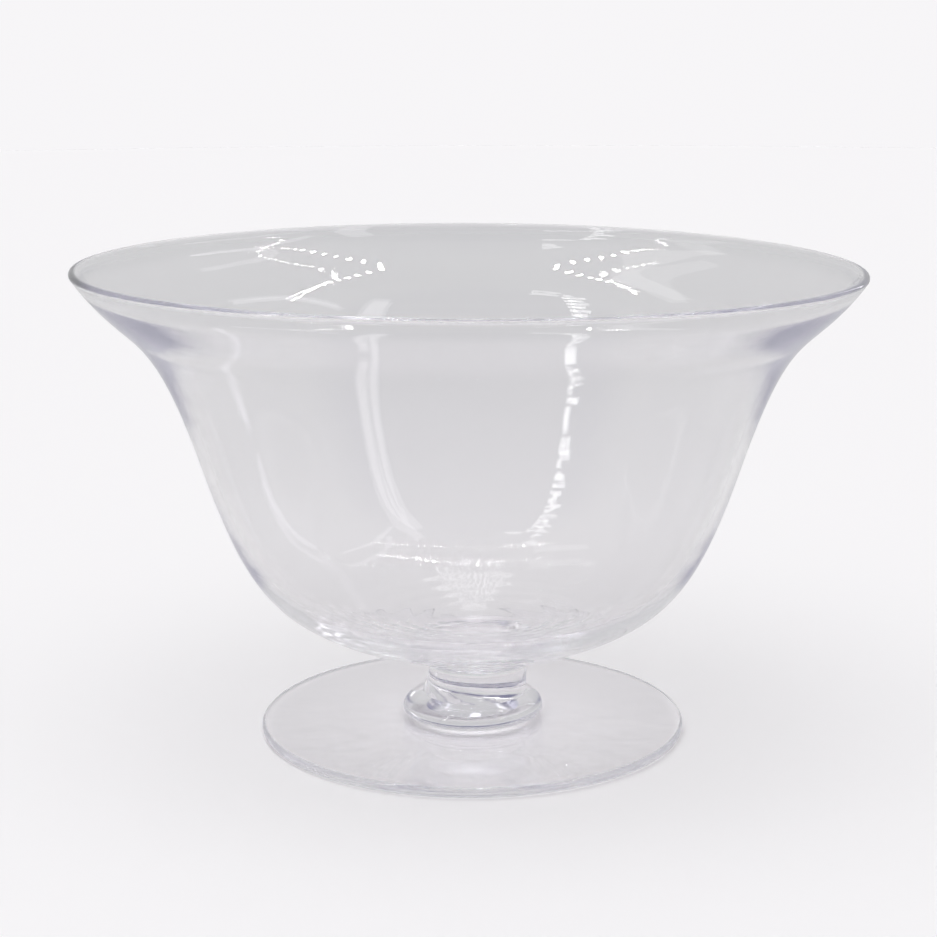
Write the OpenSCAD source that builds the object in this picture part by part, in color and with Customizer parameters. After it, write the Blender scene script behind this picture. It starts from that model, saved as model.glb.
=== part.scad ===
// Footed bowl in clear glass: a flared bowl fused to a collar, a knop and a disc foot.
// Every piece is a solid of revolution about the Z axis, and the foot rests on Z = 0.
// Lengths are in millimetres and angles in degrees.

/* [Bowl] */
// Diameter over the lip
rim_d = 250; // [210:1:300]
// Height of the bowl from its seat to the top of the lip
bowl_h = 129.4; // [110:0.1:160]
// Thickness of the rounded lip
lip_t = 2.4; // [1.6:0.1:3.2]
// Thickness of the wall at the waist
wall_t = 3.2; // [2:0.1:5]
// Thickness of the wall where it leaves the seat
base_t = 7.5; // [6:0.1:11]
// Slope of the outside where it leaves the seat, up from level
base_a = 20; // [12:0.5:28]
// Slope of the outside at the lip, up from level
rim_a = 55; // [40:0.5:70]

/* [Waist of the bowl] */
// Outside diameter where the round belly turns into the flare
waist_d = 173; // [150:1:190]
// Height of the waist above the seat
waist_h = 66.4; // [55:0.1:80]
// Slope of the outside at the waist, up from level
waist_a = 72.5; // [65:0.5:85]

/* [Fullness of the bowl's curves] */
// How far the belly keeps the slope that it has at the seat
base_reach = 45; // [35:0.5:55]
// How far the belly keeps the slope of the waist
belly_reach = 54.5; // [42:0.5:60]
// How far the flare keeps the slope of the waist
flare_reach = 52; // [35:0.5:55]
// How far the flare keeps the slope that it has at the lip
lip_reach = 29; // [15:0.5:35]

/* [Collar] */
// Diameter of the seat between the collar and the bowl
seat_d = 37; // [32:0.5:44]
// Diameter of the collar at its middle
collar_d = 33; // [27:0.5:34]
// Height of the collar
collar_h = 12; // [8:0.1:18]

/* [Knop] */
// Diameter of the seat between the knop and the collar
knop_top_d = 34; // [31:0.5:38]
// Largest diameter of the knop
knop_d = 46; // [44:0.5:54]
// Diameter of the seat between the knop and the foot
knop_foot_d = 40; // [34:0.5:42]
// Height of the knop
knop_h = 8; // [6.5:0.1:14]
// Height of the knop's widest part above the foot
knop_wide_h = 2.6; // [1.5:0.1:3.5]
// Height to which the knop's side stays upright before the shoulder turns in
knop_shoulder_h = 6; // [4:0.1:6.4]

/* [Foot] */
// Diameter of the foot
foot_d = 138.4; // [110:0.1:170]
// Thickness of the foot under the knop
foot_t = 3.6; // [3.2:0.1:6]
// Thickness of the foot at its edge
foot_edge_t = 3; // [2.6:0.1:3.2]
// Radius of the foot's rounded edges
foot_round = 1.2; // [0.5:0.1:1.2]
// Flat rim left on the foot's top around the knop
foot_seat_rim = 1.5; // [0.5:0.1:4]

/* [Hidden] */
$fn = 96;

// Clear glass as it reads against a pale background
glass_colour = [0.84, 0.86, 0.89];
glass_alpha = 0.55;

// Shares of the way along a long curve and a short one, without the end, where the next curve starts
curve_steps = 16;
arc_steps = 8;
curve_shares = [for (i = [0 : curve_steps - 1]) i / curve_steps];
arc_shares = [for (i = [0 : arc_steps - 1]) i / arc_steps];

// The pieces stand on one another, so each height starts where the piece below ends
knop_z = foot_t;
collar_z = knop_z + knop_h;
seat_z = collar_z + collar_h;
rim_z = seat_z + bowl_h;

// Points and directions of an outline, as [radius, height]
function towards(angle) = [cos(angle), sin(angle)];
function unit(v) = v / norm(v);
function left_of(v) = [-v[1], v[0]];
function reversed(list) = [for (i = [len(list) - 1 : -1 : 0]) list[i]];
function blend(a, b, u) = a + (b - a) * u;
// Round arc about a centre, with both its ends
function arc(centre, radius, from, to) =
    [for (u = concat(arc_shares, 1)) centre + radius * towards(blend(from, to, u))];
// Curve from a to c that leaves towards b and arrives from b, without its end
function bend(a, b, c) = [for (u = arc_shares) blend(blend(a, b, u), blend(b, c, u), u)];
// Point and direction of travel on the cubic curve that has the four control points p
function cubic(p, u) = blend(
    blend(blend(p[0], p[1], u), blend(p[1], p[2], u), u),
    blend(blend(p[1], p[2], u), blend(p[2], p[3], u), u),
    u);
function cubic_direction(p, u) = unit(blend(
    blend(p[1] - p[0], p[2] - p[1], u),
    blend(p[2] - p[1], p[3] - p[2], u),
    u));
// Point on the inside of a wall of thickness t whose outside follows the cubic curve
function inner_point(p, u, t) = cubic(p, u) + t * left_of(cubic_direction(p, u));

// Outside of the bowl: the belly rises from the seat to the waist, and the flare from there to the lip
lip_r = lip_t / 2;
seat_edge = [seat_d / 2, seat_z];
waist = [waist_d / 2, seat_z + waist_h];
rim_edge = [rim_d / 2 - lip_r * (1 - sin(rim_a)), rim_z - lip_r * (1 + cos(rim_a))];
belly = [
    seat_edge,
    seat_edge + base_reach * towards(base_a),
    waist - belly_reach * towards(waist_a),
    waist];
flare = [
    waist,
    waist + flare_reach * towards(waist_a),
    rim_edge - lip_reach * towards(rim_a),
    rim_edge];
belly_outside = [for (u = curve_shares) cubic(belly, u)];
flare_outside = [for (u = curve_shares) cubic(flare, u)];

// The lip is a half-round between the two sides of the wall
lip = arc(rim_edge + lip_r * left_of(towards(rim_a)), lip_r, rim_a - 90, rim_a + 90);

// Inside of the bowl: the wall thins from the seat to the waist, fast at first, then evenly to the lip
belly_inside = [for (u = curve_shares) inner_point(belly, u, wall_t + (base_t - wall_t) * pow(1 - u, 2))];
flare_inside = [for (u = curve_shares) inner_point(flare, u, blend(wall_t, lip_t, u))];

// The floor inside levels out from the belly's slope to flat on the axis
floor_edge = belly_inside[0];
floor_z = floor_edge[1] - floor_edge[0] / 2 * tan(base_a);
floor_inside = bend([0, floor_z], [floor_edge[0] / 2, floor_z], floor_edge);

module glass_of_revolution(outline) {
    color(glass_colour, glass_alpha)
    rotate_extrude()
    polygon(outline);
}

module bowl() {
    glass_of_revolution(concat(
        [[0, seat_z]],
        belly_outside,
        flare_outside,
        lip,
        reversed(concat(floor_inside, belly_inside, flare_inside))));
}

// The side draws in from both seats to the collar's own diameter half-way up
module neck_collar() {
    lower = [knop_top_d / 2, collar_z];
    draw_in = (lower[0] + seat_edge[0] - collar_d) / 2;
    side = [for (u = curve_shares) blend(lower, seat_edge, u) - [draw_in * 4 * u * (1 - u), 0]];
    glass_of_revolution(concat([[0, collar_z]], side, [seat_edge, [0, seat_z]]));
}

// The underside tucks in to the foot, and the shoulder slopes up to the collar
module stem_knop() {
    knop_r = knop_d / 2;
    wide = [knop_r, knop_z + knop_wide_h];
    top = [knop_top_d / 2, collar_z];
    glass_of_revolution(concat(
        [[0, knop_z]],
        bend([knop_foot_d / 2, knop_z], [knop_r, knop_z + knop_wide_h / 2], wide),
        bend(wide, [knop_r, knop_z + knop_shoulder_h], top),
        [top, [0, collar_z]]));
}

// The top slopes down a little from the knop's flat seat to the rounded edge
module foot() {
    edge_r = foot_d / 2 - foot_round;
    glass_of_revolution(concat(
        [[0, 0]],
        arc([edge_r, foot_round], foot_round, -90, 0),
        arc([edge_r, foot_edge_t - foot_round], foot_round, 0, 90),
        [[knop_foot_d / 2 + foot_seat_rim, foot_t], [0, foot_t]]));
}

bowl();
neck_collar();
stem_knop();
foot();
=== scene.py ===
# %% [markdown]
# A footed bowl in clear glass
#
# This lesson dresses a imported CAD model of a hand-made glass bowl. The CAD model has four solids: a flared
# bowl, a waisted collar, a squat knop and a disc foot. Each one is replaced by a finer surface that is
# worked out with numpy, in the same place and at the same size, with the small waves that hand-made glass
# has. Then come the glass itself, the light tent that the glass mirrors, and the camera.

# %% Load the frame
import math

import bpy
import numpy as np
from mathutils import Matrix, Vector


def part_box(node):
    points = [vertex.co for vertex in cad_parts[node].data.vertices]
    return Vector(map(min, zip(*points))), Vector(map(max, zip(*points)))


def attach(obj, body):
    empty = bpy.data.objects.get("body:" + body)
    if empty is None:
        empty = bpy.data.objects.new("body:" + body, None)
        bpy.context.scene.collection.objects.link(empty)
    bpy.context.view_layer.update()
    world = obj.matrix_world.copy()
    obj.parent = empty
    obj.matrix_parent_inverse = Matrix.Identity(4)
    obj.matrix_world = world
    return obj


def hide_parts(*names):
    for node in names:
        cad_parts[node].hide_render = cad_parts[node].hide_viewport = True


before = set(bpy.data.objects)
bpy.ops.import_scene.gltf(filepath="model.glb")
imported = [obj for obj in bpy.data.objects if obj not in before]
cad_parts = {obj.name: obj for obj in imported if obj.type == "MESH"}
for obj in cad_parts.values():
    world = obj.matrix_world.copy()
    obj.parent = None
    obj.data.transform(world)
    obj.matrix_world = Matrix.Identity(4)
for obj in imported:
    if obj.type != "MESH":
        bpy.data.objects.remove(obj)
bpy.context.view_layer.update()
MM = 0.001

# %% [markdown]
# Sizes
#
# The heights at which the pieces meet, and their widest radii, are read from the CAD boxes, so the looks
# can't drift away from the solids. What a box can't tell, such as the slope of a wall, is named here in
# millimetres and degrees.

# %% Read the sizes
foot_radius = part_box("foot")[1].x / MM
foot_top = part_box("foot")[1].z / MM
knop_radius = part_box("stem_knop")[1].x / MM
knop_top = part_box("stem_knop")[1].z / MM
seat_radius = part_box("neck_collar")[1].x / MM
seat_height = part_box("neck_collar")[1].z / MM
rim_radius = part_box("bowl")[1].x / MM
rim_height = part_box("bowl")[1].z / MM
print(f"Rim {2 * rim_radius:.0f} mm across, {rim_height:.0f} mm high, foot {2 * foot_radius:.0f} mm across")

# %% [markdown]
# Curves
#
# A blown wall has no corners, so its outline is drawn with cubic curves. Each one is given by two ends and
# the slope that it keeps for a while at each end, which is how a glassmaker would describe it too: how
# steeply it leaves the seat, how upright it stands at the waist, how far the lip leans out.

# %% Curve helpers
def heading(degrees):
    """Unit step that rises at the given angle above level, as (radius, height)."""
    angle = math.radians(degrees)
    return np.array([math.cos(angle), math.sin(angle)])


def cubic(start, start_pull, end_pull, end, count):
    """Points and unit directions on a cubic curve: each point is the four controls weighted by
    (1-u)^3, 3u(1-u)^2, 3u^2(1-u) and u^3, and the direction is the derivative of that sum."""
    u = np.linspace(0.0, 1.0, count)[:, None]
    points = (1 - u) ** 3 * start + 3 * u * (1 - u) ** 2 * start_pull
    points = points + 3 * u**2 * (1 - u) * end_pull + u**3 * end
    steps = (1 - u) ** 2 * (start_pull - start) + 2 * u * (1 - u) * (end_pull - start_pull)
    steps = steps + u**2 * (end - end_pull)
    return points, steps / np.linalg.norm(steps, axis=1, keepdims=True)


def bend(start, pull, end, count):
    """Points on a quadratic curve: start, pull and end weighted by (1-u)^2, 2u(1-u) and u^2."""
    u = np.linspace(0.0, 1.0, count)[:, None]
    return (1 - u) ** 2 * np.asarray(start) + 2 * u * (1 - u) * np.asarray(pull) + u**2 * np.asarray(end)


def arc(centre, radius, start_degrees, end_degrees, count):
    """Points on a circle: the centre plus the radius along a heading that turns evenly."""
    angle = np.radians(np.linspace(start_degrees, end_degrees, count))
    return np.asarray(centre) + radius * np.stack([np.cos(angle), np.sin(angle)], axis=1)


def inward(directions):
    """Each direction turned a quarter to the left, which points into the bowl from its outside."""
    return np.stack([-directions[:, 1], directions[:, 0]], axis=1)


# %% [markdown]
# Turning an outline into glass
#
# Every piece is an outline spun about the upright axis. The outline starts and ends on the axis, so the
# spun surface closes at two poles. Hand-made glass is never quite round: its wall strays by a fraction of a
# millimetre in slow waves, and that is what makes its reflections ripple. The stray is a function of angle
# and height alone, so two pieces that share a seat stray together there and stay in contact.

# %% Spin an outline
TURN_STEPS = 288
RIM_SLOPE = 55.0
OVAL_MM, OVAL_PHASE = 0.30, 0.7
LOBE_MM, LOBE_PHASE = 0.16, -1.9
LEAN_MM, LEAN_HEIGHT, LEAN_SPAN = 1.9, 20.0, 9.0
SLUMP_MM, SLUMP_FROM = 2.3, 100.0


def lean(height):
    """How far the axis leans towards +X, in millimetres: a bell curve exp(-((z - middle) / span)^2), which
    is highest at the collar and all but gone at the foot and in the belly."""
    return LEAN_MM * np.exp(-(((height - LEAN_HEIGHT) / LEAN_SPAN) ** 2))


def stray(angle, height):
    """How far the wall strays outwards, in millimetres: an oval (two waves a turn) and a three-lobed
    wave, both growing in proportion to the height above the foot."""
    rise = np.clip(height - foot_top, 0.0, None) / (rim_height - foot_top)
    oval = OVAL_MM * np.cos(2 * angle + OVAL_PHASE)
    lobes = LOBE_MM * np.cos(3 * angle + LOBE_PHASE)
    return rise * (oval + lobes)


def slump(angle, height):
    """How far the wall has slumped back along its slope, in millimetres: ((1 + cos a) / 2)^3 around the +X
    side, times the square of the share of the way from SLUMP_FROM up to the lip."""
    rise = np.clip((height - SLUMP_FROM) / (rim_height - SLUMP_FROM), 0.0, 1.0)
    return SLUMP_MM * ((1 + np.cos(angle)) / 2) ** 3 * rise**2


def spin(name, outline, seams=(), ridges=None):
    """Spins an outline of (radius, height) points about the Z axis. The first and last points are poles.
    A point of ring i at angle a is ((r + stray) cos a + lean, (r + stray) sin a, z), set back along the
    rim's slope by the slump and raised by ridges(r, a) where these are given. The faces of the outline
    steps listed in seams carry 1 in the attribute "seam", and their edges stay sharp."""
    outline = np.asarray(outline)
    rings = outline[1:-1]
    angle = np.arange(TURN_STEPS) * (2 * np.pi / TURN_STEPS)
    set_back = slump(angle[None, :], rings[:, 1:])
    radius = rings[:, :1] + stray(angle[None, :], rings[:, 1:]) - set_back * heading(RIM_SLOPE)[0]
    height = rings[:, 1:] - set_back * heading(RIM_SLOPE)[1]
    if ridges is not None:
        height = height + ridges(rings, angle)
    grid = np.stack([radius * np.cos(angle) + lean(rings[:, 1:]), radius * np.sin(angle), height], axis=2)
    grid = grid.reshape(-1, 3)
    poles = np.array([[lean(end), 0.0, end] for end in (outline[0, 1], outline[-1, 1])])
    points = np.vstack([grid, poles]) * MM

    here = np.arange(TURN_STEPS)
    following = np.roll(here, -1)
    row = np.arange(len(rings) - 1)[:, None] * TURN_STEPS
    next_row = row + TURN_STEPS
    quads = np.stack([row + here, row + following, next_row + following, next_row + here], axis=2)
    first_pole, last_pole = len(grid), len(grid) + 1
    last_row = (len(rings) - 1) * TURN_STEPS
    first_cap = np.stack([following, here, np.full(TURN_STEPS, first_pole)], axis=1)
    last_cap = np.stack([last_row + here, last_row + following, np.full(TURN_STEPS, last_pole)], axis=1)
    faces = quads.reshape(-1, 4).tolist() + first_cap.tolist() + last_cap.tolist()

    mesh = bpy.data.meshes.new(name)
    mesh.from_pydata(points.tolist(), [], faces)
    step_of_face = np.concatenate([
        np.repeat(np.arange(1, len(rings)), TURN_STEPS),
        np.zeros(TURN_STEPS, int),
        np.full(TURN_STEPS, len(rings))])
    is_seam = np.isin(step_of_face, list(seams))
    mesh.attributes.new("seam", "FLOAT", "FACE").data.foreach_set("value", is_seam.astype(np.float32))
    mesh.polygons.foreach_set("use_smooth", np.ones(len(faces), dtype=bool))

    sharp_rings = {ring for step in seams for ring in (step - 1, step) if 0 <= ring < len(rings)}
    ends = np.empty(len(mesh.edges) * 2, dtype=np.int32)
    mesh.edges.foreach_get("vertices", ends)
    ring_of_end = ends.reshape(-1, 2) // TURN_STEPS
    along_ring = (ring_of_end[:, 0] == ring_of_end[:, 1]) & (ends.reshape(-1, 2).max(axis=1) < len(grid))
    mesh.edges.foreach_set("use_edge_sharp", along_ring & np.isin(ring_of_end[:, 0], list(sharp_rings)))
    mesh.update()

    piece = bpy.data.objects.new(name, mesh)
    bpy.context.scene.collection.objects.link(piece)
    print(f"{name}: {len(points)} points, {len(faces)} faces")
    return piece


# %% [markdown]
# The bowl
#
# The outside is two curves. The belly leaves the flat seat at a low slope and rises to the waist, and the
# flare leans out from there to the lip. The inside follows the outside at the thickness of the wall, which
# is greatest at the floor and least under the lip, because blown glass is thinnest where it was stretched
# most. The lip is half round and a little thicker, as a flame leaves it. The floor keeps faint spiral ridges
# from the turning of the pipe, and they are what breaks up the light in the base.

# %% Make the bowl
WAIST_RADIUS, WAIST_RISE, WAIST_SLOPE = 86.5, 66.4, 72.5
BASE_SLOPE = 20.0
BASE_REACH, BELLY_REACH, FLARE_REACH, LIP_REACH = 45.0, 54.5, 52.0, 29.0
LIP_THICK = 2.4
PULLED_BELOW, PULLED_THICK = 7.0, 1.8
SWOLLEN_BELOW, SWOLLEN_THICK = 28.0, 2.5
WALL_THICK, BASE_THICK = 3.2, 7.5
BELLY_POINTS = 97
CURVE_POINTS = 49
ARC_POINTS = 17

waist = np.array([WAIST_RADIUS, seat_height + WAIST_RISE])


def eased(way, start, end):
    """Goes from 0 at start to 1 at end as 1 - (1 - q)^2, fast at first, with q the share of the way."""
    q = np.clip((way - start) / (end - start), 0.0, 1.0)
    return 1 - (1 - q) ** 2


def flare_thickness(flare):
    """Thickness at each point of the flare, from its distance below the lip along the wall: pulled thin
    just under the lip, then thicker in two eased steps, the first to the swollen part and the second to
    the waist."""
    steps = np.linalg.norm(np.diff(flare, axis=0), axis=1)
    below = np.append(np.cumsum(steps[::-1])[::-1], 0.0)[:, None]
    thick = LIP_THICK + (PULLED_THICK - LIP_THICK) * eased(below, 0.0, PULLED_BELOW)
    thick = thick + (SWOLLEN_THICK - PULLED_THICK) * eased(below, PULLED_BELOW, SWOLLEN_BELOW)
    return thick + (WALL_THICK - SWOLLEN_THICK) * eased(below, SWOLLEN_BELOW, below[0])


def bowl_outline():
    """Seat, belly, flare, lip, then back down the inside to the floor: one closed loop from pole to pole.
    The inside is the outside moved inwards by the thickness, which in the belly goes from base to wall by
    (1 - share)^2. The floor is a quadratic curve that keeps the base's slope at its edge and ends level."""
    half_lip = LIP_THICK / 2
    seat_edge = np.array([seat_radius, seat_height])
    lip_middle = np.array([rim_radius, rim_height]) - half_lip
    lip = arc(lip_middle, half_lip, RIM_SLOPE - 90.0, RIM_SLOPE + 90.0, ARC_POINTS)
    rim_edge = lip[0]
    belly, belly_way = cubic(
        seat_edge, seat_edge + BASE_REACH * heading(BASE_SLOPE),
        waist - BELLY_REACH * heading(WAIST_SLOPE), waist, BELLY_POINTS)
    flare, flare_way = cubic(
        waist, waist + FLARE_REACH * heading(WAIST_SLOPE),
        rim_edge - LIP_REACH * heading(RIM_SLOPE), rim_edge, CURVE_POINTS)
    share = np.linspace(0.0, 1.0, BELLY_POINTS)[:, None]
    belly_thickness = WALL_THICK + (BASE_THICK - WALL_THICK) * (1 - share) ** 2
    belly_inside = belly + inward(belly_way) * belly_thickness
    flare_inside = flare + inward(flare_way) * flare_thickness(flare)
    floor_edge = belly_inside[0]
    half_way = floor_edge[0] / 2
    floor_height = floor_edge[1] - half_way * math.tan(math.radians(BASE_SLOPE))
    floor = bend(floor_edge, [half_way, floor_height], [0.0, floor_height], ARC_POINTS)
    return np.vstack([
        [[0.0, seat_height]], belly, flare[1:-1], lip,
        flare_inside[-2:0:-1], belly_inside[::-1], floor[1:]])


RIDGE_MM, RIDGE_PITCH, RIDGE_ARMS = 0.22, 6.5, 3
RIDGE_FROM, RIDGE_UP_TO = 3.0, 66.0
RIDGE_BEND, RIDGE_BEND_SPAN = 1.3, 9.0
RIDGE_CALM = 0.75
OUTSIDE_RINGS = BELLY_POINTS + CURVE_POINTS


def pipe_ridges(rings, angle):
    """Height of the spiral ridges on the inside, in millimetres: the cosine of 2 pi radius / pitch + arms x
    angle, bent by a slow wave. With q the share of the way out from RIDGE_FROM to RIDGE_UP_TO, it fades by
    sin^2(pi sqrt q) to the axis and up the belly, and it is calmer on the +Y side. The outside gets none."""
    radius, height = rings[:, :1], rings[:, 1:]
    bent = RIDGE_BEND * np.sin(2 * angle + radius / RIDGE_BEND_SPAN)
    spiral = 2 * np.pi * radius / RIDGE_PITCH + RIDGE_ARMS * angle + bent
    share = np.clip((radius - RIDGE_FROM) / (RIDGE_UP_TO - RIDGE_FROM), 0.0, 1.0)
    fade = np.sin(np.pi * np.sqrt(share)) ** 2 * (1 - RIDGE_CALM * ((1 + np.sin(angle)) / 2) ** 2)
    on_inside = np.arange(len(rings))[:, None] > OUTSIDE_RINGS
    return np.where(on_inside & (height < waist[1]), RIDGE_MM * fade * np.cos(spiral), 0.0)


bowl = spin("blown_bowl", bowl_outline(), seams=[0], ridges=pipe_ridges)
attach(bowl, "root")
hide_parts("bowl")

# %% [markdown]
# The collar, the knop and the foot
#
# These are solid gathers of glass that were set on one another while soft. The collar draws in between its
# two seats and flares out under the bowl. The knop bulges low down, with a sloping shoulder. The foot is a
# disc with a fire-polished edge. The flat faces where they meet are fused on the real bowl, so nothing
# shows there: those faces are marked as seams, and the glass lets light straight on through them.

# %% Make the collar
KNOP_SEAT_RADIUS = 17.0
COLLAR_RISE, COLLAR_RISE_SLOPE = 7.0, 100.0
COLLAR_FLARE, COLLAR_FLARE_SLOPE = 3.5, 30.0


def collar_outline():
    """Lower seat, a side that climbs leaning in a little and then flares out, upper seat."""
    lower = np.array([KNOP_SEAT_RADIUS, knop_top])
    upper = np.array([seat_radius, seat_height])
    side, _ = cubic(
        lower, lower + COLLAR_RISE * heading(COLLAR_RISE_SLOPE),
        upper - COLLAR_FLARE * heading(COLLAR_FLARE_SLOPE), upper, CURVE_POINTS)
    return np.vstack([[[0.0, knop_top]], side, [[0.0, seat_height]]])


collar = spin("waisted_collar", collar_outline(), seams=[0, CURVE_POINTS])
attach(collar, "root")
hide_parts("neck_collar")

# %% Make the knop
FOOT_SEAT_RADIUS = 20.0
KNOP_WIDE_HEIGHT, KNOP_SHOULDER_HEIGHT = 2.6, 6.0


def knop_outline():
    """Foot seat, underside tucked in, widest ring, shoulder, collar seat. Both curves are upright at the
    widest ring."""
    wide = [knop_radius, foot_top + KNOP_WIDE_HEIGHT]
    under_pull = [knop_radius, foot_top + KNOP_WIDE_HEIGHT / 2]
    shoulder_pull = [knop_radius, foot_top + KNOP_SHOULDER_HEIGHT]
    under = bend([FOOT_SEAT_RADIUS, foot_top], under_pull, wide, ARC_POINTS)
    shoulder = bend(wide, shoulder_pull, [KNOP_SEAT_RADIUS, knop_top], ARC_POINTS)
    return np.vstack([[[0.0, foot_top]], under, shoulder[1:], [[0.0, knop_top]]])


knop = spin("squat_knop", knop_outline(), seams=[0, 2 * ARC_POINTS - 1])
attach(knop, "root")
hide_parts("stem_knop")

# %% Make the foot
FOOT_EDGE, FOOT_ROUND, FOOT_SEAT_RIM = 3.0, 1.2, 1.5
FOOT_TOP_POINTS = 25


def foot_outline():
    """Flat underside, rounded edge, a top that rises a little towards the knop's seat by 3s^2 - 2s^3, with
    s the share of the way in."""
    edge = foot_radius - FOOT_ROUND
    below = arc([edge, FOOT_ROUND], FOOT_ROUND, -90, 0, ARC_POINTS)
    above = arc([edge, FOOT_EDGE - FOOT_ROUND], FOOT_ROUND, 0, 90, ARC_POINTS)
    flat = FOOT_SEAT_RADIUS + FOOT_SEAT_RIM
    share = np.linspace(0.0, 1.0, FOOT_TOP_POINTS)[1:, None]
    ease = share**2 * (3 - 2 * share)
    top = np.hstack([edge + (flat - edge) * share, FOOT_EDGE + (foot_top - FOOT_EDGE) * ease])
    return np.vstack([[[0.0, 0.0]], below, above, top, [[FOOT_SEAT_RADIUS, foot_top], [0.0, foot_top]]])


foot = spin("disc_foot", foot_outline(), seams=[2 * ARC_POINTS + FOOT_TOP_POINTS])
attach(foot, "root")
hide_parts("foot")

# %% [markdown]
# Shader sums
#
# Materials are node trees, and sums are easier to read as Python than as a web of links. This class wraps a
# socket: an operator on it adds one Math node, and `add` puts in any other node.

# %% A socket that does sums
class Value:
    """A shader socket that adds a Math node for each operator used on it."""

    def __init__(self, tree, socket=None):
        self.tree = tree
        self.socket = socket

    def add(self, kind, settings=None, inputs=None, output=0):
        """Adds any node: its settings first, then a number, colour or link for each named socket."""
        node = self.tree.nodes.new(kind)
        for key, value in (settings or {}).items():
            setattr(node, key, value)
        for key, value in (inputs or {}).items():
            if isinstance(value, Value):
                self.tree.links.new(value.socket, node.inputs[key])
            else:
                node.inputs[key].default_value = value
        return Value(self.tree, node.outputs[output] if node.outputs else None)

    def maths(self, operation, first, second):
        """Adds one Math node that works on two numbers or sockets."""
        return self.add("ShaderNodeMath", {"operation": operation}, {0: first, 1: second})

    def __add__(self, other):
        return self.maths("ADD", self, other)

    def __sub__(self, other):
        return self.maths("SUBTRACT", self, other)

    def __rsub__(self, other):
        return self.maths("SUBTRACT", other, self)

    def __mul__(self, other):
        return self.maths("MULTIPLY", self, other)

    __radd__ = __add__
    __rmul__ = __mul__


def new_material(name):
    """An empty material and the start of its node tree."""
    material = bpy.data.materials.new(name)
    material.use_nodes = True
    material.node_tree.nodes.clear()
    return material, Value(material.node_tree)


MIX_FIRST, MIX_SECOND, MIX_RESULT = 6, 7, 2


def mix_colour(start, factor, first, second):
    """A colour that goes from first to second as factor goes from 0 to 1. The Mix node has one pair of
    sockets for each type of data, and the numbers above are those of its colours."""
    sockets = {"Factor": factor, MIX_FIRST: first, MIX_SECOND: second}
    return start.add("ShaderNodeMix", {"data_type": "RGBA"}, sockets, MIX_RESULT)


# %% [markdown]
# Clear glass
#
# Clear glass has almost no colour of its own: what shows is what it bends and mirrors. So the detail is in
# the surface. Faint rings and streaks stay from the tools that shaped the turning gather, and a slow ripple
# from the heat, each at most a tenth of a millimetre high and fainter higher up, where the bowl was blown
# thin. A thin film of handling makes the polish uneven.

# %% Make the glass
GLASS_IOR = 1.52
GLASS_DEPTH_TINT, GLASS_DEPTH = (0.30, 0.30, 0.55, 1.0), 0.35
TINT_FROM, TINT_TO = (0.975, 0.972, 0.980, 1.0), (0.990, 0.988, 0.992, 1.0)
RIPPLE_SCALE, RIPPLE_RELIEF = 38.0, 0.00010
RING_SCALE, RING_RELIEF = 38.0, 0.00004
STREAK_SCALE, STREAK_RELIEF = (70.0, 70.0, 420.0), 0.00005
WORKED_BELOW, BLOWN_ABOVE, BLOWN_SHARE = 0.030, 0.075, 0.15
FILM_SCALE, POLISH_LEAST, POLISH_SPREAD = 22.0, 0.012, 0.03


def clear_glass():
    """Glass whose normal ripples, whose polish varies, and which lets light straight on at a fused seam.
    The relief is the sum of ripple, rings and streaks, each times its height in metres, and it falls off
    smoothly to BLOWN_SHARE of itself between the worked base and the blown wall."""
    material, start = new_material("clear_glass")
    place = start.add("ShaderNodeTexCoord", output="Object")
    ripple = start.add("ShaderNodeTexNoise", None, {
        "Vector": place, "Scale": RIPPLE_SCALE, "Detail": 2.0}, "Fac")
    rings = start.add("ShaderNodeTexWave", {"bands_direction": "Z", "wave_profile": "SIN"}, {
        "Vector": place, "Scale": RING_SCALE, "Distortion": 1.5, "Detail": 1.0, "Detail Scale": 0.6}, "Fac")
    squeeze = start.add("ShaderNodeMapping", None, {"Vector": place, "Scale": STREAK_SCALE})
    streaks = start.add("ShaderNodeTexNoise", None, {"Vector": squeeze, "Scale": 1.0, "Detail": 2.0}, "Fac")
    film = start.add("ShaderNodeTexNoise", None, {"Vector": place, "Scale": FILM_SCALE, "Detail": 5.0}, "Fac")
    height = start.add("ShaderNodeSeparateXYZ", None, {0: place}, "Z")
    worked = start.add("ShaderNodeMapRange", {"interpolation_type": "SMOOTHSTEP"}, {
        "Value": height, "From Min": WORKED_BELOW, "From Max": BLOWN_ABOVE,
        "To Min": 1.0, "To Max": 0.0}, "Result")
    relief = ripple * RIPPLE_RELIEF + rings * RING_RELIEF + streaks * STREAK_RELIEF
    relief = relief * (BLOWN_SHARE + (1.0 - BLOWN_SHARE) * worked)
    bump = start.add("ShaderNodeBump", None, {"Strength": 1.0, "Distance": 1.0, "Height": relief}, "Normal")
    tint = mix_colour(start, film, TINT_FROM, TINT_TO)
    polish = POLISH_LEAST + film * POLISH_SPREAD
    glass = start.add("ShaderNodeBsdfPrincipled", None, {
        "Base Color": tint, "Roughness": polish, "IOR": GLASS_IOR, "Transmission Weight": 1.0,
        "Normal": bump}, "BSDF")
    seam = start.add("ShaderNodeAttribute", {"attribute_name": "seam"}, None, "Fac")
    clear = start.add("ShaderNodeBsdfTransparent", None, {"Color": (1.0, 1.0, 1.0, 1.0)})
    surface = start.add("ShaderNodeMixShader", None, {0: seam, 1: glass, 2: clear})
    depth = start.add("ShaderNodeVolumeAbsorption", None, {"Color": GLASS_DEPTH_TINT, "Density": GLASS_DEPTH})
    start.add("ShaderNodeOutputMaterial", None, {"Surface": surface, "Volume": depth})
    return material


glass_material = clear_glass()
for piece in (bowl, collar, knop, foot):
    piece.data.materials.append(glass_material)
print("Material:", glass_material.name)

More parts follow.
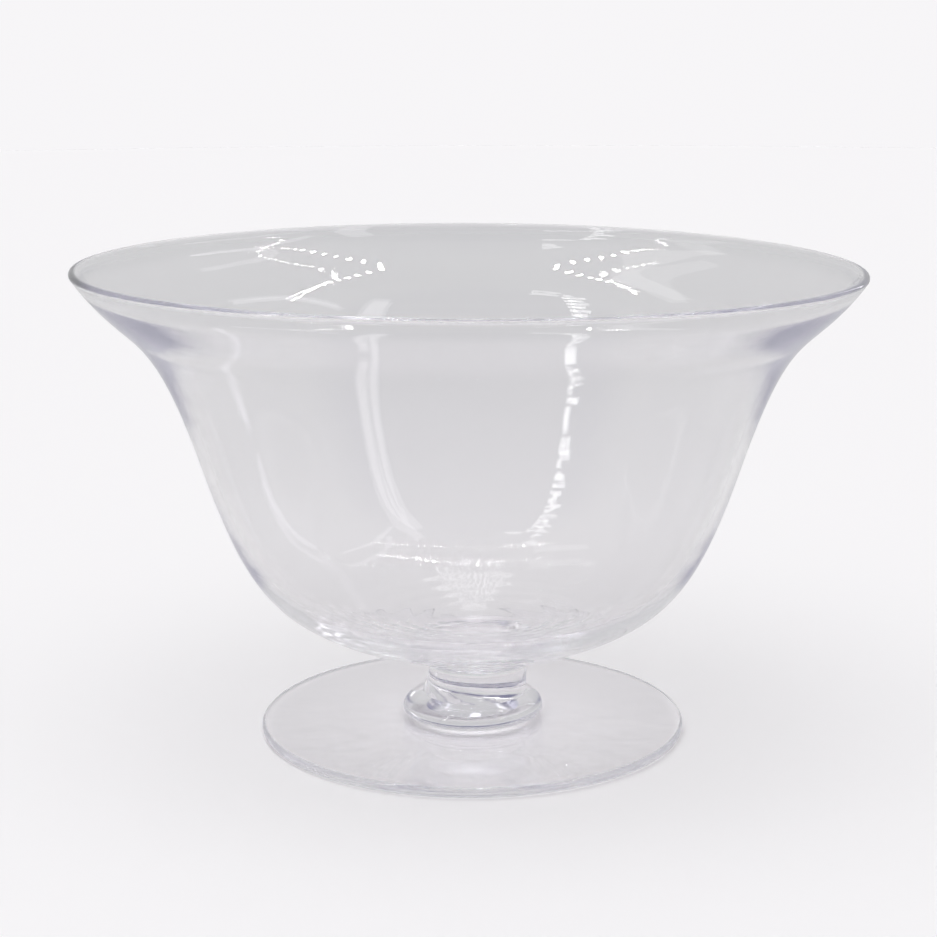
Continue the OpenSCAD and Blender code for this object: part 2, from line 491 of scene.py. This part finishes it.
# %% [markdown]
# The floor and the tent
#
# Clear glass is photographed in a tent of white cloth, because it shows whatever stands around it. The floor
# and the sky are nearly white to the camera and a shade darker to the rays that have been through the glass,
# which sets the glass off from its background. To those rays the floor is painted darker away from the bowl,
# as painted shade of the tent's far cloth. The floor's light comes mostly from overhead and a little more
# from the left than from the right. Together it is as much as from an even sky of level 1, so a matt colour
# renders about as it is written, and the floor gets the soft shadow of clear glass.

# %% Floor and sky
BACKDROP_SEEN = (0.93, 0.918, 0.934, 1.0)
# Behind glass the floor is painted darker away from the bowl: the far level is painted shade of the tent's
# cloth.
CLOTH_NEAR, CLOTH_NEAR_TINT = 0.90, np.array([1.0, 0.978, 0.998])
SHADED_CLOTH_FAR, SHADED_CLOTH_FAR_TINT = 0.635, np.array([1.0, 0.999, 1.016])
CLOTH_SHADE_FADE = 0.38
FLOOR_RADIUS, FLOOR_DROP, FLOOR_SIDES = 3.0, 0.0002, 96


def grey(level):
    """A grey colour of the given level."""
    return (level, level, level, 1.0)


def tinted(level, tint):
    """A colour of the given level that leans to the tint."""
    return (*(level * tint), 1.0)


CLOTH_NEAR_COLOUR = tinted(CLOTH_NEAR, CLOTH_NEAR_TINT)
SHADED_CLOTH_FAR_COLOUR = tinted(SHADED_CLOTH_FAR, SHADED_CLOTH_FAR_TINT)


def add_floor():
    """A disc just under the foot. Behind glass its level falls off with distance r from the bowl, from near
    to far by exp(-r / fade). This falloff is painted shade: the cloth is painted darker away from the bowl."""
    angle = np.arange(FLOOR_SIDES) * (2 * np.pi / FLOOR_SIDES)
    ring = np.stack([np.cos(angle), np.sin(angle), np.zeros(FLOOR_SIDES)], axis=1) * FLOOR_RADIUS
    mesh = bpy.data.meshes.new("pale_floor")
    mesh.from_pydata((ring - [0, 0, FLOOR_DROP]).tolist(), [], [list(range(FLOOR_SIDES))])
    floor = bpy.data.objects.new("pale_floor", mesh)
    bpy.context.scene.collection.objects.link(floor)
    material, start = new_material("pale_floor")
    place = start.add("ShaderNodeTexCoord", output="Object")
    distance = start.add("ShaderNodeVectorMath", {"operation": "LENGTH"}, {0: place}, "Value")
    # Painted shade: the share of the near level, which fades with distance so the far floor is painted
    # darker.
    near = start.maths("EXPONENT", distance * (-1.0 / CLOTH_SHADE_FADE), 0.0)
    seen = start.add("ShaderNodeLightPath", output="Is Camera Ray")
    cloth = mix_colour(start, near, SHADED_CLOTH_FAR_COLOUR, CLOTH_NEAR_COLOUR)
    matt = start.add("ShaderNodeBsdfDiffuse", None,
                     {"Color": mix_colour(start, seen, cloth, BACKDROP_SEEN)})
    start.add("ShaderNodeOutputMaterial", None, {"Surface": matt})
    mesh.materials.append(material)
    return floor


ROOM_SIDE = (0.0, -1.0, 0.0)
ROOM_DIM = (0.19, 0.19, 0.30, 1.0)
ROOM_EDGE, ROOM_BLUR = 0.15, 0.35
DAYLIGHT_LOW, DAYLIGHT_HIGH, DAYLIGHT_LEAN = 0.15, 2.70, 0.55


def add_sky():
    """A sky that is pale to the camera, daylight to matt surfaces, and to glass the cloth of a tent, which is
    open to a dim room on the side that the camera looks in from. The daylight goes from low to high by
    z^4 (1 - lean x), with (x, y, z) the direction that it comes from."""
    world = bpy.data.worlds.new("white_tent")
    bpy.context.scene.world = world
    world.use_nodes = True
    world.node_tree.nodes.clear()
    start = Value(world.node_tree)
    way = start.add("ShaderNodeTexCoord", output="Generated")
    facing = start.add("ShaderNodeVectorMath", {"operation": "DOT_PRODUCT"}, {0: way, 1: ROOM_SIDE}, "Value")
    room = start.add("ShaderNodeClamp", None, {"Value": (facing - ROOM_EDGE) * (1.0 / ROOM_BLUR)})
    bounced = start.add("ShaderNodeLightPath", output="Diffuse Depth")
    matt = start.maths("MINIMUM", bounced, 1.0)
    seen = start.add("ShaderNodeLightPath", output="Is Camera Ray")
    tent = mix_colour(start, room, SHADED_CLOTH_FAR_COLOUR, ROOM_DIM)
    up = start.add("ShaderNodeSeparateXYZ", None, {0: way}, "Z")
    side = start.add("ShaderNodeSeparateXYZ", None, {0: way}, "X")
    lit = up * up * up * up * (1.0 - DAYLIGHT_LEAN * side)
    daylight = mix_colour(start, lit, grey(DAYLIGHT_LOW), grey(DAYLIGHT_HIGH))
    light = mix_colour(start, matt, tent, daylight)
    sky = start.add("ShaderNodeBackground", None,
                    {"Color": mix_colour(start, seen, light, BACKDROP_SEEN), "Strength": 1.0})
    start.add("ShaderNodeOutputWorld", None, {"Surface": sky})
    world.cycles.sampling_method = "NONE"
    return world


floor, sky = add_floor(), add_sky()
print("Stage:", floor.name, sky.name)

# %% [markdown]
# What the glass mirrors
#
# The glass gets its sparkle and its pale bands from what stands around it: small lamps along the roof bar,
# larger ones down the tent's left leg, pale folds of cloth down its right leg and back post and along the
# roof's right side, a bright left corner, a soft patch and a slatted panel on the roof, and the dim opening
# that the camera looks in through. Each is a set of flat quads that only mirror and glass rays can see.

# %% Cards that only glass can see
CARD_LETS_ON = 0.6


def glow(name, colour, strength):
    """A plain light of one colour, which no lamp sampling spends time on. A ray from the floor that meets it
    through the glass goes on to the daylight behind, dimmed to CARD_LETS_ON."""
    material, start = new_material(name)
    light = start.add("ShaderNodeEmission", None, {"Color": (*colour, 1.0), "Strength": strength})
    nothing = start.add("ShaderNodeBsdfTransparent", None, {"Color": grey(CARD_LETS_ON)})
    bounced = start.add("ShaderNodeLightPath", output="Diffuse Depth")
    caught = start.maths("MINIMUM", bounced, 1.0)
    start.add("ShaderNodeOutputMaterial", None,
              {"Surface": start.add("ShaderNodeMixShader", None, {0: caught, 1: light, 2: nothing})})
    material.cycles.emission_sampling = "NONE"
    return material


def mirrored_only(name, corners, material):
    """Flat quads, given as corners in millimetres, that the camera and matt surfaces can't see."""
    corners = np.asarray(corners, dtype=float).reshape(-1, 3)
    mesh = bpy.data.meshes.new(name)
    mesh.from_pydata((corners * MM).tolist(), [], np.arange(len(corners)).reshape(-1, 4).tolist())
    mesh.materials.append(material)
    card = bpy.data.objects.new(name, mesh)
    bpy.context.scene.collection.objects.link(card)
    card.visible_camera = False
    card.visible_diffuse = False
    card.visible_shadow = False
    print(f"{name}: {len(mesh.polygons)} quads")
    return card


def strip(points, pitch, length, width, sway=0.0):
    """Corners of quads set every pitch along a bent line: each has the given length along the line and
    width across it, and faces the middle of the bowl. Quads sit by turns to both sides of the line, half
    the sway away from it."""
    points = np.asarray(points, dtype=float)
    legs = np.diff(points, axis=0)
    spans = np.linalg.norm(legs, axis=1)
    marks = np.concatenate([[0.0], np.cumsum(spans)])
    at = np.arange(pitch / 2, marks[-1], pitch)
    leg = np.clip(np.searchsorted(marks, at) - 1, 0, len(legs) - 1)
    along = legs[leg] / spans[leg][:, None]
    middles = points[leg] + along * (at - marks[leg])[:, None]
    across = np.cross(along, np.array([0.0, 0.0, rim_height / 2]) - middles)
    across = across / np.linalg.norm(across, axis=1, keepdims=True)
    side = np.where(np.arange(len(at)) % 2 == 0, 0.5, -0.5)[:, None]
    middles = middles + across * side * sway
    turns = np.array([[-1, -1], [1, -1], [1, 1], [-1, 1]]) / 2
    return (middles[:, None] + turns[None, :, :1] * along[:, None] * length
            + turns[None, :, 1:] * across[:, None] * width)


# %% Lamps, folds and opening
WHITE = (1.0, 1.0, 1.0)
FOLD_COLOUR = (1.0, 0.98, 1.02)
ROOM_COLOUR = (0.42, 0.41, 0.47)

roof_light = glow("roof_light", WHITE, strength=150.0)
leg_light = glow("leg_light", WHITE, strength=6.0)
panel_light = glow("panel_light", WHITE, strength=5.0)
cloth_light = glow("cloth_light", WHITE, strength=4.0)
patch_light = glow("patch_light", WHITE, strength=1.5)
post_light = glow("post_light", FOLD_COLOUR, strength=2.2)
fold_light = glow("fold_light", FOLD_COLOUR, strength=1.9)
dim_room = glow("dim_room", ROOM_COLOUR, strength=1.0)

CAMERA_OPENING = [(-171, -37, 624), (125, -85, 622), (325, -310, 200), (-388, -363, 200)]
LEFT_LEG = [(-171, -37, 624), (-367, -332, 240)]
RIGHT_LEG = [(190, -80, 620), (375, -255, 270)]
RIGHT_LEG_TWIN = [(185, -100, 620), (255, -200, 445), (345, -290, 270)]
ROOF_SIDE = [(320, -60, 620), (285, 170, 620), (345, 395, 620)]
LEFT_CORNER = [(-165, -45, 626), (-100, -45, 622)]
BACK_POST = [(381, 341, 160), (352, 353, 420)]
ROOF_BAR = [(-230, 154, 600), (300, 154, 600)]
ROOF_GLOW = [(-140, 198, 622), (-340, 265, 622)]
BACK_PANEL = [(-42, 535, 600), (42, 535, 600)]

mirrored_only("camera_opening", CAMERA_OPENING, dim_room)
mirrored_only("left_leg", strip(LEFT_LEG, pitch=27, length=17, width=66, sway=26), leg_light)
mirrored_only("right_leg", strip(RIGHT_LEG, pitch=15, length=15, width=40), fold_light)
mirrored_only("right_leg_twin", strip(RIGHT_LEG_TWIN, pitch=15, length=15, width=32), fold_light)
mirrored_only("roof_side", strip(ROOF_SIDE, pitch=15, length=15, width=26), fold_light)
mirrored_only("left_corner", strip(LEFT_CORNER, pitch=15, length=15, width=50), cloth_light)
mirrored_only("back_post", strip(BACK_POST, pitch=13, length=13, width=40), post_light)
mirrored_only("roof_bar", strip(ROOF_BAR, pitch=15, length=3, width=9), roof_light)
mirrored_only("roof_glow", strip(ROOF_GLOW, pitch=210, length=210, width=80), patch_light)
mirrored_only("back_panel", strip(BACK_PANEL, pitch=7.3, length=2.6, width=160), panel_light)

# %% [markdown]
# The camera
#
# The camera looks a little down on the bowl, from where the rim's and the foot's ellipses have the
# proportions that they have in the photograph.

# %% Camera
CAMERA_PLACE = Vector((-0.00099, -0.6530, 0.23033))
CAMERA_DOWN, CAMERA_ROLL = 12.466, -0.183
CAMERA_LENS, CAMERA_SENSOR = 79.64, 36.0

lens = bpy.data.cameras.new("camera")
lens.sensor_width = CAMERA_SENSOR
lens.lens = CAMERA_LENS
camera = bpy.data.objects.new("camera", lens)
bpy.context.scene.collection.objects.link(camera)
tilt = Matrix.Rotation(math.radians(90.0 - CAMERA_DOWN), 4, "X")
roll = Matrix.Rotation(math.radians(CAMERA_ROLL), 4, "Z")
camera.matrix_world = Matrix.Translation(CAMERA_PLACE) @ tilt @ roll
bpy.context.scene.camera = camera
print("Camera at", [round(v, 3) for v in CAMERA_PLACE])

# %% [markdown]
# Last settings
#
# Light may have to cross many surfaces on its way through the bowl, so the limits on bounces are raised, and
# reflections are kept sharp. Light that has bounced is clamped, which keeps stray sparkles down.

# %% Settings
GLASS_BOUNCES = 256
BOUNCED_MOST = 60.0

scene = bpy.context.scene
scene.view_settings.view_transform = "Standard"
scene.cycles.use_denoising = True
scene.cycles.max_bounces = GLASS_BOUNCES
scene.cycles.transmission_bounces = GLASS_BOUNCES
scene.cycles.glossy_bounces = GLASS_BOUNCES
scene.cycles.transparent_max_bounces = GLASS_BOUNCES
scene.cycles.sample_clamp_indirect = BOUNCED_MOST
scene.cycles.blur_glossy = 0.0
